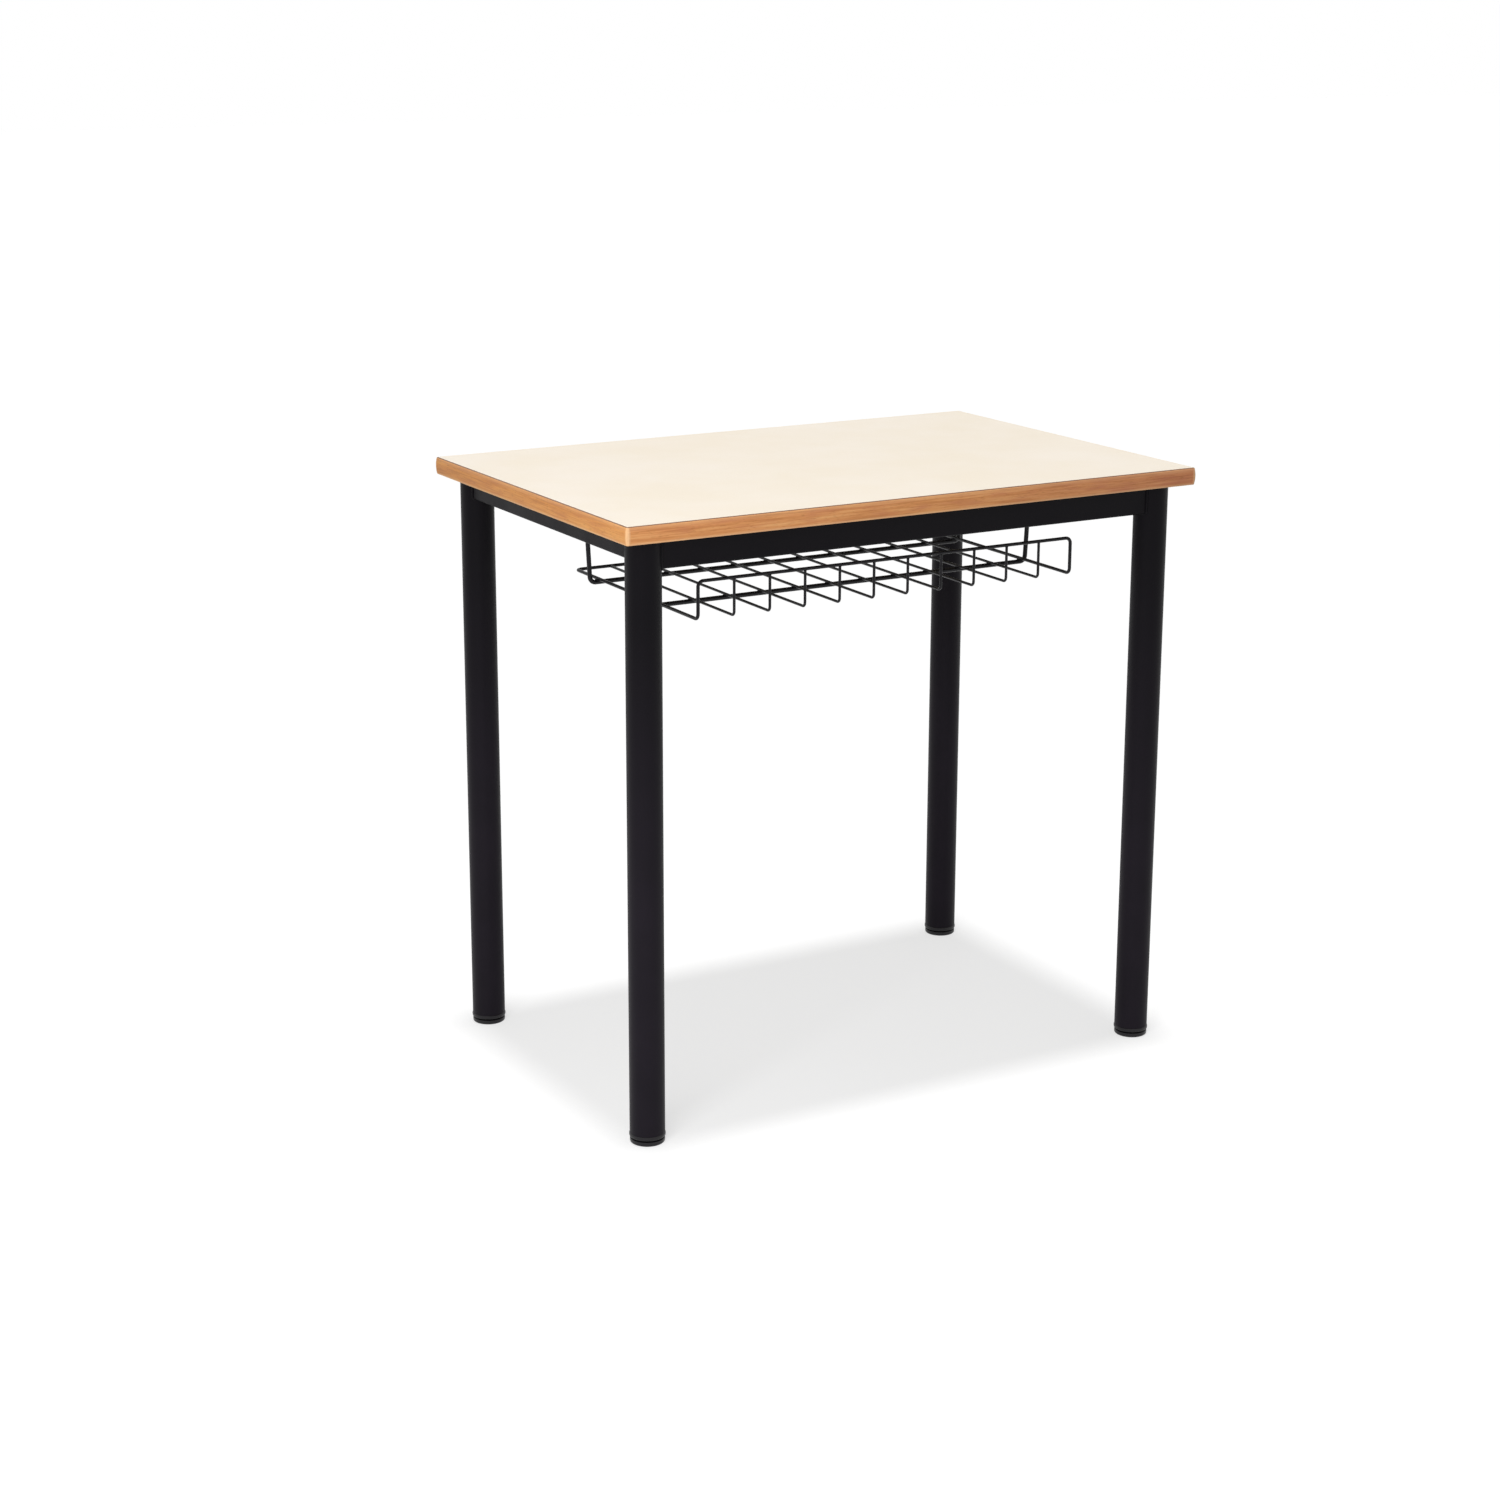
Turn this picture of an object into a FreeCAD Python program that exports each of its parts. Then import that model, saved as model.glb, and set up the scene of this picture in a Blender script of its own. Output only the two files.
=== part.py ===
# School desk: a laminated top on a welded tube frame, with a wire book basket and levelling feet.
# Millimetres. The origin is on the floor under the middle of the top, +X along the length, +Z up.
# The fence of the basket is on the -Y side, and the sitter is on the +Y side.
import FreeCAD, Part
import os

# Driving dimensions
driving = {
    # Top
    "top_length": 750,
    "top_width": 500,
    "desk_height": 710,
    "laminate_thickness": 0.9,
    "core_thickness": 19,
    "backing_thickness": 0.6,
    "lipping_thickness": 8,
    "lipping_bulge_radius": 50,
    "corner_radius": 3,
    "upper_arris_radius": 2.5,
    "lower_arris_radius": 1,
    # Legs and rails
    "leg_diameter": 40,
    "leg_wall": 1.5,
    "leg_inset_x": 18,
    "leg_inset_y": 16,
    "rail_width": 25,
    "rail_wall": 1.5,
    "rail_corner": 2.5,
    "long_rail_height": 34,
    "short_rail_height": 25,
    "weld_gap": 0.1,
    # Feet
    "glide_diameter": 39.6,
    "glide_height": 5.4,
    "glide_lower_round": 2.2,
    "glide_upper_round": 0.8,
    "glide_hub_diameter": 30,
    "groove_height": 1.4,
    "seat_gap": 0.2,
    "stem_diameter": 10,
    "stem_length": 30,
    "stem_chamfer": 1,
    "thread_clearance": 0.2,
    "flange_diameter": 41.2,
    "flange_height": 5.2,
    "flange_round": 2,
    "sleeve_length": 24,
    "sleeve_wall": 2.5,
    "sleeve_clearance": 0.1,
    "boss_diameter": 18,
    # Screws
    "screw_diameter": 4,
    "screw_length": 16,
    "screw_tip_length": 3,
    "screw_tip_diameter": 0.8,
    "screw_head_diameter": 8,
    "screw_crown_diameter": 5.6,
    "screw_head_height": 2.6,
    "recess_span": 4.2,
    "recess_width": 1,
    "recess_depth": 1.4,
    "pilot_clearance": 0.05,
    "screw_hole_clearance": 0.4,
    "access_hole_diameter": 11,
    "long_rail_screw_spacing": 400,
    # Basket
    "basket_length": 500,
    "basket_depth": 302,
    "basket_offset": -25,
    "basket_drop": 107,
    "fence_height": 43,
    "rim_wire": 4,
    "rim_bend": 6.5,
    "cross_wire": 3.2,
    "cross_bend": 5,
    "cross_count": 10,
    "hanger_wire": 5.5,
    "hanger_bend": 7.5,
    "hanger_spacing": 144,
    "hanger_gap": 4,
    "hanger_lean": 3,
    "tab_length": 46,
    "tab_width": 18,
    "tab_thickness": 2,
    "tab_corner": 3,
    "tab_hole_spacing": 32,
}

doc = FreeCAD.newDocument("school_desk")
sheet = doc.addObject("Spreadsheet::Sheet", "sizes")
for row, (alias, value) in enumerate(driving.items(), start=1):
    sheet.set(f"A{row}", alias.replace("_", " "))
    sheet.set(f"B{row}", str(value))
    sheet.setAlias(f"B{row}", alias)
doc.recompute()

# Places that several pieces share, as expressions on the sheet
core_base = "(sizes.desk_height - sizes.laminate_thickness - sizes.core_thickness)"
underside = f"({core_base} - sizes.backing_thickness)"
core_length = "(sizes.top_length - 2 * sizes.lipping_thickness)"
core_width = "(sizes.top_width - 2 * sizes.lipping_thickness)"
leg_x = "(sizes.top_length / 2 - sizes.leg_inset_x - sizes.leg_diameter / 2)"
leg_y = "(sizes.top_width / 2 - sizes.leg_inset_y - sizes.leg_diameter / 2)"
flange_base = "(sizes.glide_height + sizes.groove_height)"
leg_base = f"({flange_base} + sizes.flange_height)"
rim_half = "(sizes.basket_length / 2)"
rim_z = f"({underside} - sizes.basket_drop)"
fence_z = f"({rim_z} + sizes.fence_height)"
fence_y = "(sizes.basket_offset - sizes.basket_depth / 2)"
back_y = "(sizes.basket_offset + sizes.basket_depth / 2)"
hanger_z = f"({rim_z} - sizes.rim_wire / 2 - sizes.weld_gap - sizes.hanger_wire / 2)"
cross_z = f"({hanger_z} + sizes.hanger_wire / 2 + sizes.weld_gap + sizes.cross_wire / 2)"
hanger_half = f"({rim_half} + sizes.rim_wire / 2 + sizes.hanger_gap + sizes.hanger_wire / 2)"
hanger_run = f"({hanger_half} - sizes.hanger_bend * tan((90 - sizes.hanger_lean) / 2))"
lean_x = f"({hanger_run} + sizes.hanger_bend * cos(sizes.hanger_lean))"
lean_z = f"({hanger_z} + sizes.hanger_bend * (1 - sin(sizes.hanger_lean)))"
tab_base = f"({underside} - sizes.tab_thickness)"
lean_rise = f"({tab_base} - sizes.weld_gap - sizes.hanger_wire / 2 * sin(sizes.hanger_lean) - {lean_z})"
tab_x = f"({lean_x} + ({tab_base} - {lean_z}) * tan(sizes.hanger_lean))"

screw_hole_width = "(sizes.screw_diameter + sizes.screw_hole_clearance)"

# Signs of the four corners, directions and a length too small to count
signs = ("-1", "1")
ends = {"front": "-1", "rear": "1"}
sides = {"left": "-1", "right": "1"}
outwards = {"-1": (-1, 0, 0), "1": (1, 0, 0)}
edge_tolerance = 1e-4
along_x = FreeCAD.Rotation(FreeCAD.Vector(0, 0, 1), FreeCAD.Vector(1, 0, 0))
along_y = FreeCAD.Rotation(FreeCAD.Vector(0, 0, 1), FreeCAD.Vector(0, 1, 0))
nodes = []


def bind(piece, **expressions):
    for prop, expression in expressions.items():
        piece.setExpression(prop, expression)
    return piece


def place(piece, x="0", y="0", z="0", turn=FreeCAD.Rotation()):
    piece.Placement = FreeCAD.Placement(FreeCAD.Vector(), turn)
    for axis, expression in zip("xyz", (x, y, z)):
        piece.setExpression("Placement.Base." + axis, expression)
    return piece


def box(length, width, height, x, y, z):
    piece = bind(doc.addObject("Part::Box"), Length=length, Width=width, Height=height)
    return place(piece, f"{x} - {length} / 2", f"{y} - {width} / 2", z)


def cylinder(diameter, height, x="0", y="0", z="0", turn=FreeCAD.Rotation()):
    piece = bind(doc.addObject("Part::Cylinder"), Radius=f"{diameter} / 2", Height=height)
    return place(piece, x, y, z, turn)


def cone(lower, upper, height, z):
    piece = doc.addObject("Part::Cone")
    bind(piece, Radius1=f"{lower} / 2", Radius2=f"{upper} / 2", Height=height)
    return place(piece, z=z)


def elbow(wire, radius, centre, start, heading, sweep="90"):
    # Part of a ring from the start side of its centre, heading the given way
    piece = doc.addObject("Part::Torus")
    bind(piece, Radius1=radius, Radius2=f"{wire} / 2", Angle3=sweep)
    start, heading = FreeCAD.Vector(start), FreeCAD.Vector(heading)
    return place(piece, *centre, FreeCAD.Rotation(start, heading, start.cross(heading), "XYZ"))


def cut(base, tool):
    piece = doc.addObject("Part::Cut")
    piece.Base = base
    piece.Tool = tool
    return piece


def common(base, tool):
    piece = doc.addObject("Part::Common")
    piece.Base = base
    piece.Tool = tool
    return piece


def fuse(*pieces):
    piece = doc.addObject("Part::MultiFuse")
    piece.Shapes = list(pieces)
    return piece


def group(pieces):
    piece = doc.addObject("Part::Compound")
    piece.Links = pieces
    return piece


def dress(kind, base, chosen, amount):
    # Rounds or bevels the chosen edges: along x or y, rising, or round the lower or upper face
    doc.recompute()
    heights = [vertex.Z for vertex in base.Shape.Vertexes]
    level = {"lower": min(heights), "upper": max(heights)}.get(chosen)
    piece = doc.addObject(kind)
    piece.Base = base
    piece.Edges = [(number, amount, amount) for number, edge in enumerate(base.Shape.Edges, start=1)
                   if (runs_along(edge, chosen) if level is None else lies_at(edge, level))]
    return piece


def runs_along(edge, axis):
    extent = edge.BoundBox
    if axis == "rising":
        return extent.ZLength > edge_tolerance
    lengths = {"x": extent.XLength, "y": extent.YLength, "z": extent.ZLength}
    return all((length > edge_tolerance) == (name == axis) for name, length in lengths.items())


def lies_at(edge, level):
    extent = edge.BoundBox
    return max(abs(extent.ZMin - level), abs(extent.ZMax - level)) < edge_tolerance


def name_node(piece, label):
    piece.Label = label
    nodes.append(piece)
    return piece


def corner_places():
    for end, end_sign in ends.items():
        for side, side_sign in sides.items():
            yield f"{end}_{side}", f"{side_sign} * {leg_x}", f"{end_sign} * {leg_y}"


# Where the screws go: into the top through the rails, and through the basket's fixing plates
rail_screw_places = []
for sign in ends.values():
    for step in sides.values():
        rail_screw_places.append((f"{step} * sizes.long_rail_screw_spacing / 2", f"{sign} * {leg_y}"))
for sign in sides.values():
    rail_screw_places.append((f"{sign} * {leg_x}", "0"))
tab_places = []
tab_screw_places = []
for end, end_sign in ends.items():
    for side, side_sign in sides.items():
        tab_y = f"{end_sign} * sizes.hanger_spacing / 2"
        tab_places.append((f"{end}_{side}", f"{side_sign} * {tab_x}", tab_y))
        for step in signs:
            hole_y = f"{tab_y} + {step} * sizes.tab_hole_spacing / 2"
            tab_screw_places.append((f"{side_sign} * {tab_x}", hole_y))

# Top: core and backing sheet with pilot holes
pilot_width = "(sizes.screw_diameter + 2 * sizes.pilot_clearance)"
pilots = [cylinder(pilot_width, "sizes.screw_length", x, y, underside)
          for x, y in rail_screw_places + tab_screw_places]
core_blank = box(core_length, core_width, "sizes.core_thickness", "0", "0", core_base)
name_node(cut(core_blank, group(pilots)), "top_core")
backing_blank = box(core_length, core_width, "sizes.backing_thickness", "0", "0", underside)
name_node(cut(backing_blank, group(pilots)), "backing_sheet")

# Top: the outline that laminate and lipping share, with convex sides, rounded corners and eased arrises
edge_height = "(sizes.core_thickness + sizes.backing_thickness)"
top_thickness = f"({edge_height} + sizes.laminate_thickness)"
bulge_width = "(2 * sizes.lipping_bulge_radius)"
bulge_z = f"({underside} + {top_thickness} / 2)"
bulge_base = f"({bulge_z} - sizes.lipping_bulge_radius / 2)"
bulge_x = "(sizes.top_length / 2 - sizes.lipping_bulge_radius)"
bulge_y = "(sizes.top_width / 2 - sizes.lipping_bulge_radius)"
slab_length = "(sizes.top_length + 2 * sizes.lipping_thickness)"
slab_width = "(sizes.top_width + 2 * sizes.lipping_thickness)"
long_sides = [box(slab_length, f"(2 * {bulge_y})", "sizes.lipping_bulge_radius", "0", "0", bulge_base)]
short_sides = [box(f"(2 * {bulge_x})", slab_width, "sizes.lipping_bulge_radius", "0", "0", bulge_base)]
for sign in signs:
    side_start = (f"-{slab_length} / 2", f"{sign} * {bulge_y}", bulge_z)
    long_sides.append(cylinder(bulge_width, slab_length, *side_start, along_x))
    side_start = (f"{sign} * {bulge_x}", f"-{slab_width} / 2", bulge_z)
    short_sides.append(cylinder(bulge_width, slab_width, *side_start, along_y))
outline = box(slab_length, slab_width, top_thickness, "0", "0", underside)
outline = common(common(outline, fuse(*long_sides)), fuse(*short_sides))
outline = dress("Part::Fillet", outline, "rising", sheet.corner_radius)
outline = dress("Part::Fillet", outline, "upper", sheet.upper_arris_radius)
outline = dress("Part::Fillet", outline, "lower", sheet.lower_arris_radius)

# Top: face laminate over core and lipping
sheet_base = f"({underside} + {edge_height})"
sheet_blank = box(slab_length, slab_width, "sizes.laminate_thickness", "0", "0", sheet_base)
name_node(common(outline, sheet_blank), "top_laminate")

# Top: four lipping strips, mitred at the corners, each a quarter turn on from the last
for turns, side in enumerate(("front", "right", "rear", "left")):
    along, across = "sizes.top_length", "sizes.top_width"
    if side in sides:
        along, across = across, along
    strip = doc.addObject("Part::Wedge")
    bind(strip, Xmin=f"-{along} / 2 - sizes.lipping_thickness", Xmax=f"{along} / 2 + sizes.lipping_thickness")
    bind(strip, Zmin="0", Zmax=edge_height, Z2min="0", Z2max=edge_height)
    bind(strip, X2min=f"sizes.lipping_thickness - {along} / 2",
         X2max=f"{along} / 2 - sizes.lipping_thickness")
    bind(strip, Ymin=f"-{across} / 2 - sizes.lipping_thickness",
         Ymax=f"sizes.lipping_thickness - {across} / 2")
    place(strip, z=underside, turn=FreeCAD.Rotation(FreeCAD.Vector(0, 0, 1), 90 * turns))
    name_node(common(outline, strip), "lipping_" + side)

# Frame: round legs
for corner, x, y in corner_places():
    leg_height = f"({underside} - {leg_base})"
    leg = cylinder("sizes.leg_diameter", leg_height, x, y, leg_base)
    leg_bore = cylinder("(sizes.leg_diameter - 2 * sizes.leg_wall)", leg_height, x, y, leg_base)
    name_node(cut(leg, leg_bore), "leg_" + corner)


def rail(label, axis, length, height, x, y, screw_places):
    # Rectangular tube, coped to the legs at both ends and drilled for the top's screws
    rail_base = f"({underside} - {height})"
    inner_height = f"({height} - 2 * sizes.rail_wall)"
    inner_width = "(sizes.rail_width - 2 * sizes.rail_wall)"
    if axis == "x":
        outer = box(length, "sizes.rail_width", height, x, y, rail_base)
        inner = box(length, inner_width, inner_height, x, y, f"{rail_base} + sizes.rail_wall")
        leg_places = [(f"{sign} * {leg_x}", y) for sign in sides.values()]
    else:
        outer = box("sizes.rail_width", length, height, x, y, rail_base)
        inner = box(inner_width, length, inner_height, x, y, f"{rail_base} + sizes.rail_wall")
        leg_places = [(x, f"{sign} * {leg_y}") for sign in ends.values()]
    outer = dress("Part::Fillet", outer, axis, sheet.rail_corner)
    cope_width = "(sizes.leg_diameter + 2 * sizes.weld_gap)"
    copes = [cylinder(cope_width, height, leg_x_place, leg_y_place, rail_base)
             for leg_x_place, leg_y_place in leg_places]
    holes = []
    for hole_x, hole_y in screw_places:
        holes.append(cylinder(screw_hole_width, "sizes.rail_wall", hole_x, hole_y,
                              f"{underside} - sizes.rail_wall"))
        holes.append(cylinder("sizes.access_hole_diameter", "sizes.rail_wall", hole_x, hole_y, rail_base))
    return name_node(cut(cut(cut(outer, inner), group(copes)), group(holes)), label)


for index, (end, sign) in enumerate(ends.items()):
    rail("long_rail_" + end, "x", f"(2 * {leg_x})", "sizes.long_rail_height", "0", f"{sign} * {leg_y}",
         rail_screw_places[2 * index:2 * index + 2])
for index, (side, sign) in enumerate(sides.items()):
    rail("short_rail_" + side, "y", f"(2 * {leg_y})", "sizes.short_rail_height", f"{sign} * {leg_x}", "0",
         rail_screw_places[4 + index:5 + index])

# Feet: an insert in each leg and a levelling glide screwed into it
for corner, x, y in corner_places():
    flange = cylinder("sizes.flange_diameter", "sizes.flange_height", x, y, flange_base)
    flange = dress("Part::Fillet", flange, "lower", sheet.flange_round)
    flange = dress("Part::Fillet", flange, "upper", sheet.flange_round)
    sleeve_width = "(sizes.leg_diameter - 2 * sizes.leg_wall - 2 * sizes.sleeve_clearance)"
    sleeve = cylinder(sleeve_width, "sizes.sleeve_length", x, y, leg_base)
    hollow = cylinder(f"({sleeve_width} - 2 * sizes.sleeve_wall)", "sizes.sleeve_length", x, y, leg_base)
    boss = cylinder("sizes.boss_diameter", "sizes.sleeve_length", x, y, leg_base)
    bore = cylinder("(sizes.stem_diameter + 2 * sizes.thread_clearance)",
                    "(sizes.flange_height + sizes.sleeve_length)", x, y, flange_base)
    name_node(cut(fuse(flange, cut(sleeve, cut(hollow, boss))), bore), "foot_insert_" + corner)

    pad = cylinder("sizes.glide_diameter", "sizes.glide_height", x, y)
    pad = dress("Part::Fillet", pad, "lower", sheet.glide_lower_round)
    pad = dress("Part::Fillet", pad, "upper", sheet.glide_upper_round)
    hub_height = "(sizes.groove_height - sizes.seat_gap)"
    hub = cylinder("sizes.glide_hub_diameter", hub_height, x, y, "sizes.glide_height")
    stem = cylinder("sizes.stem_diameter", f"({hub_height} + sizes.stem_length)", x, y, "sizes.glide_height")
    stem = dress("Part::Chamfer", stem, "upper", sheet.stem_chamfer)
    name_node(fuse(pad, hub, stem), "glide_" + corner)

# Screws: one pattern with a pan head and a cross recess, its seat at height zero
shank_length = "(sizes.screw_length - sizes.screw_tip_length)"
shank = cylinder("sizes.screw_diameter", shank_length)
tip = cone("sizes.screw_diameter", "sizes.screw_tip_diameter", "sizes.screw_tip_length", shank_length)
head_base = "-sizes.screw_head_height"
head = cone("sizes.screw_crown_diameter", "sizes.screw_head_diameter", "sizes.screw_head_height", head_base)
recess = fuse(box("sizes.recess_span", "sizes.recess_width", "sizes.recess_depth", "0", "0", head_base),
              box("sizes.recess_width", "sizes.recess_span", "sizes.recess_depth", "0", "0", head_base))
screw = cut(fuse(shank, tip, head), recess)


def screw_set(label, places, seat):
    screws = []
    for x, y in places:
        copy = doc.addObject("App::Link")
        copy.LinkedObject = screw
        screws.append(place(copy, x, y, seat))
    return name_node(group(screws), label)


screw_set("top_screws", rail_screw_places, f"{underside} - sizes.rail_wall")
screw_set("basket_screws", tab_screw_places, tab_base)

# Basket: rim wire, one loop that is flat at the back and turns up into a fence at the front
rim_run = "(sizes.basket_length - 2 * sizes.rim_bend)"
rim_pieces = [
    cylinder("sizes.rim_wire", rim_run, f"-{rim_run} / 2", back_y, rim_z, along_x),
    cylinder("sizes.rim_wire", rim_run, f"-{rim_run} / 2", fence_y, fence_z, along_x),
]
for sign, outward in outwards.items():
    side_x = f"{sign} * {rim_half}"
    turn_x = f"{sign} * {rim_run} / 2"
    side_run = "(sizes.basket_depth - 2 * sizes.rim_bend)"
    fence_run = "(sizes.fence_height - 2 * sizes.rim_bend)"
    back_turn = (turn_x, f"{back_y} - sizes.rim_bend", rim_z)
    rising_turn = (side_x, f"{fence_y} + sizes.rim_bend", f"{rim_z} + sizes.rim_bend")
    fence_turn = (turn_x, fence_y, f"{fence_z} - sizes.rim_bend")
    rim_pieces += [
        cylinder("sizes.rim_wire", side_run, side_x, f"{fence_y} + sizes.rim_bend", rim_z, along_y),
        cylinder("sizes.rim_wire", fence_run, side_x, fence_y, f"{rim_z} + sizes.rim_bend"),
        elbow("sizes.rim_wire", "sizes.rim_bend", back_turn, (0, 1, 0), outward),
        elbow("sizes.rim_wire", "sizes.rim_bend", rising_turn, (0, 0, -1), (0, -1, 0)),
        elbow("sizes.rim_wire", "sizes.rim_bend", fence_turn, outward, (0, 0, 1)),
    ]
name_node(fuse(*rim_pieces), "basket_rim")

# Basket: two hanger wires under the tray, with ends that lean outwards up to the fixing plates
for end, end_sign in ends.items():
    y = f"{end_sign} * sizes.hanger_spacing / 2"
    floor_run = f"(2 * {hanger_run})"
    hanger_pieces = [cylinder("sizes.hanger_wire", floor_run, f"-{hanger_run}", y, hanger_z, along_x)]
    for sign, outward in outwards.items():
        turn = (f"{sign} * {hanger_run}", y, f"{hanger_z} + sizes.hanger_bend")
        sweep = "(90 - sizes.hanger_lean)"
        bend = elbow("sizes.hanger_wire", "sizes.hanger_bend", turn, (0, 0, -1), outward, sweep)
        tilt = FreeCAD.Rotation(FreeCAD.Vector(0, float(sign), 0), sheet.hanger_lean)
        upright_run = f"{lean_rise} / cos(sizes.hanger_lean)"
        upright = cylinder("sizes.hanger_wire", upright_run, f"{sign} * {lean_x}", y, lean_z, tilt)
        hanger_pieces += [bend, bind(upright, **{"Placement.Rotation.Angle": "sizes.hanger_lean"})]
    name_node(fuse(*hanger_pieces), "hanger_wire_" + end)

# Basket: fixing plates at the hangers' upper ends
for corner, x, y in tab_places:
    plate = box("sizes.tab_width", "sizes.tab_length", "sizes.tab_thickness", x, y, tab_base)
    plate = dress("Part::Fillet", plate, "rising", sheet.tab_corner)
    plate_holes = []
    for step in signs:
        hole_y = f"{y} + {step} * sizes.tab_hole_spacing / 2"
        plate_holes.append(cylinder(screw_hole_width, "sizes.tab_thickness", x, hole_y, tab_base))
    name_node(cut(plate, group(plate_holes)), "basket_plate_" + corner)

# Basket: cross wires on the hangers, from the back of the rim to the fence
for number in range(1, int(sheet.cross_count) + 1):
    x = f"sizes.basket_length * ({number} / (sizes.cross_count + 1) - 0.5)"
    run_start = f"({fence_y} + sizes.cross_bend)"
    run_end = f"({back_y} - sizes.rim_wire / 2 - sizes.weld_gap)"
    rise_start = f"({cross_z} + sizes.cross_bend)"
    rise_end = f"({fence_z} - sizes.rim_wire / 2 - sizes.weld_gap)"
    cross_pieces = [
        cylinder("sizes.cross_wire", f"{run_end} - {run_start}", x, run_start, cross_z, along_y),
        elbow("sizes.cross_wire", "sizes.cross_bend", (x, run_start, rise_start), (0, 0, -1), (0, -1, 0)),
        cylinder("sizes.cross_wire", f"{rise_end} - {rise_start}", x, fence_y, rise_start),
    ]
    name_node(fuse(*cross_pieces), f"cross_wire_{number:02d}")

# Every object has to be sound before anything is written
doc.recompute()
for piece in doc.Objects:
    if "Invalid" in piece.State or "Error" in piece.State:
        raise RuntimeError(f"{piece.Label} failed: {piece.State}")
for piece in nodes:
    if piece.Shape.isNull() or not piece.Shape.isValid() or not piece.Shape.Solids:
        raise RuntimeError(f"{piece.Label} has no sound solid")
    print(f"{piece.Label}: {len(piece.Shape.Solids)} solid(s), {piece.Shape.Volume / 1000:.2f} cm3")

os.makedirs("parts", exist_ok=True)
for piece in nodes:
    piece.Shape.exportStep(f"parts/{piece.Label}.step")
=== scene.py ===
import math
import random
import bmesh
import bpy
from mathutils import Matrix, Vector


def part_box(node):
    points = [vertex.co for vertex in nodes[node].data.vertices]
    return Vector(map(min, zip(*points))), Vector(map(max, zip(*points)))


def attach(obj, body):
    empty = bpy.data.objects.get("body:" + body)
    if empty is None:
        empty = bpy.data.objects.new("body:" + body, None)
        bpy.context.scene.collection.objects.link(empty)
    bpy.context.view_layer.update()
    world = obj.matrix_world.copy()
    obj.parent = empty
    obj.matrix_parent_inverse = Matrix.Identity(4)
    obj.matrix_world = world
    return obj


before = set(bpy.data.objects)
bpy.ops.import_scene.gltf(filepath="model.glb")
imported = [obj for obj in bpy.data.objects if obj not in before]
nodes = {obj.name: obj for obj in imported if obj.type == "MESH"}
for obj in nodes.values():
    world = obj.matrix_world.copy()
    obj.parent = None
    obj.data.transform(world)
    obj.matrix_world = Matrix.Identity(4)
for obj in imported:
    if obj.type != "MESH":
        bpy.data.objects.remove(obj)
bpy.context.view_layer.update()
print("frame loaded:", len(nodes), "nodes")

mm = 0.001  # lengths below are in metres
corners = [(end, side) for end in ("front", "rear") for side in ("left", "right")]
crossWires = sorted(name for name in nodes if name.startswith("cross_wire_"))


def boxOf(name):
    return [Vector(corner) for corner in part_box(name)]


def hexColour(text):
    # sRGB hex to the linear colour that shaders take
    channels = [int(text[i:i + 2], 16) / 255 for i in (1, 3, 5)]
    linear = [c / 12.92 if c <= 0.04045 else ((c + 0.055) / 1.055) ** 2.4 for c in channels]
    return (*linear, 1.0)


def socketOf(node, key):
    # by number, or by name among the sockets in use: a Mix node has several of one name
    if isinstance(key, int):
        return node.inputs[key]
    return next(socket for socket in node.inputs if socket.name == key and socket.enabled)


def addNode(tree, kind, settings=None, links=None):
    # a setting is a property or a socket, a link is a socket and the node or output that feeds it
    node = tree.nodes.new("ShaderNode" + kind)
    for key, value in (settings or {}).items():
        if isinstance(key, str) and hasattr(node, key):
            setattr(node, key, value)
        else:
            socketOf(node, key).default_value = hexColour(value) if isinstance(value, str) else value
    for key, source in (links or {}).items():
        if isinstance(source, bpy.types.Node):
            source = next(output for output in source.outputs if output.enabled)
        tree.links.new(source, socketOf(node, key))
    return node


def newMaterial(name):
    material = bpy.data.materials.new(name)
    material.use_nodes = True
    tree = material.node_tree
    tree.nodes.clear()
    return material, tree


def closeMaterial(tree, plan, colour, wander, relief):
    # most finishes end alike: a colour, a roughness that wanders with one noise and the relief of another
    surface = addNode(tree, "BsdfPrincipled", plan["shader"], {
        "Base Color": colour,
        "Roughness": addNode(tree, "MapRange", plan["roughness"], {"Value": wander}),
        "Normal": addNode(tree, "Bump", plan["relief"], {"Height": relief}),
    })
    addNode(tree, "OutputMaterial", links={"Surface": surface})


def paint(material, names):
    for name in names:
        nodes[name].data.materials.clear()
        nodes[name].data.materials.append(material)
    print(material.name, "on", len(names), "nodes")


# Settings that many nodes share
softNoise = {"Detail": 3.0, "Roughness": 0.55}
noiseSpan = {"From Min": 0.3, "From Max": 0.7}  # most of a noise lies between these
colourMix = {"data_type": "RGBA"}
colourTint = {"data_type": "RGBA", "blend_type": "MULTIPLY", "Factor": 1.0}

# Cream laminate: a calm satin sheet with a fine pressed texture, and a thin brown line where its edge is cut
laminatePlan = {
    "face": "#F6ECDD", "warm": "#F4E9D7", "speckle": "#D9C8AC", "edge": "#785740",
    "texture": 1.6 * mm,  # drawn coarser than the real texture, which is finer than a pixel
    "cloud": 130 * mm,
    "warmth": {"From Min": 0.35, "From Max": 0.65},
    "speckles": {**noiseSpan, "To Max": 0.10},
    "flatFrom": 0.97,  # upward part of the normal, below which a face is the cut edge
    "shader": {"Specular IOR Level": 0.25},
    "roughness": {**noiseSpan, "To Min": 0.40, "To Max": 0.50},
    "relief": {"Strength": 0.25, "Distance": 0.1 * mm},
}
creamLaminate, tree = newMaterial("cream_laminate")
place = addNode(tree, "TexCoord").outputs["Object"]
pressed = addNode(tree, "TexNoise", {
    **softNoise, "Detail": 2.0, "Scale": 1 / laminatePlan["texture"],
}, {"Vector": place})
cloud = addNode(tree, "TexNoise", {**softNoise, "Scale": 1 / laminatePlan["cloud"]}, {"Vector": place})
warmth = addNode(tree, "MapRange", laminatePlan["warmth"], {"Value": cloud})
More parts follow.
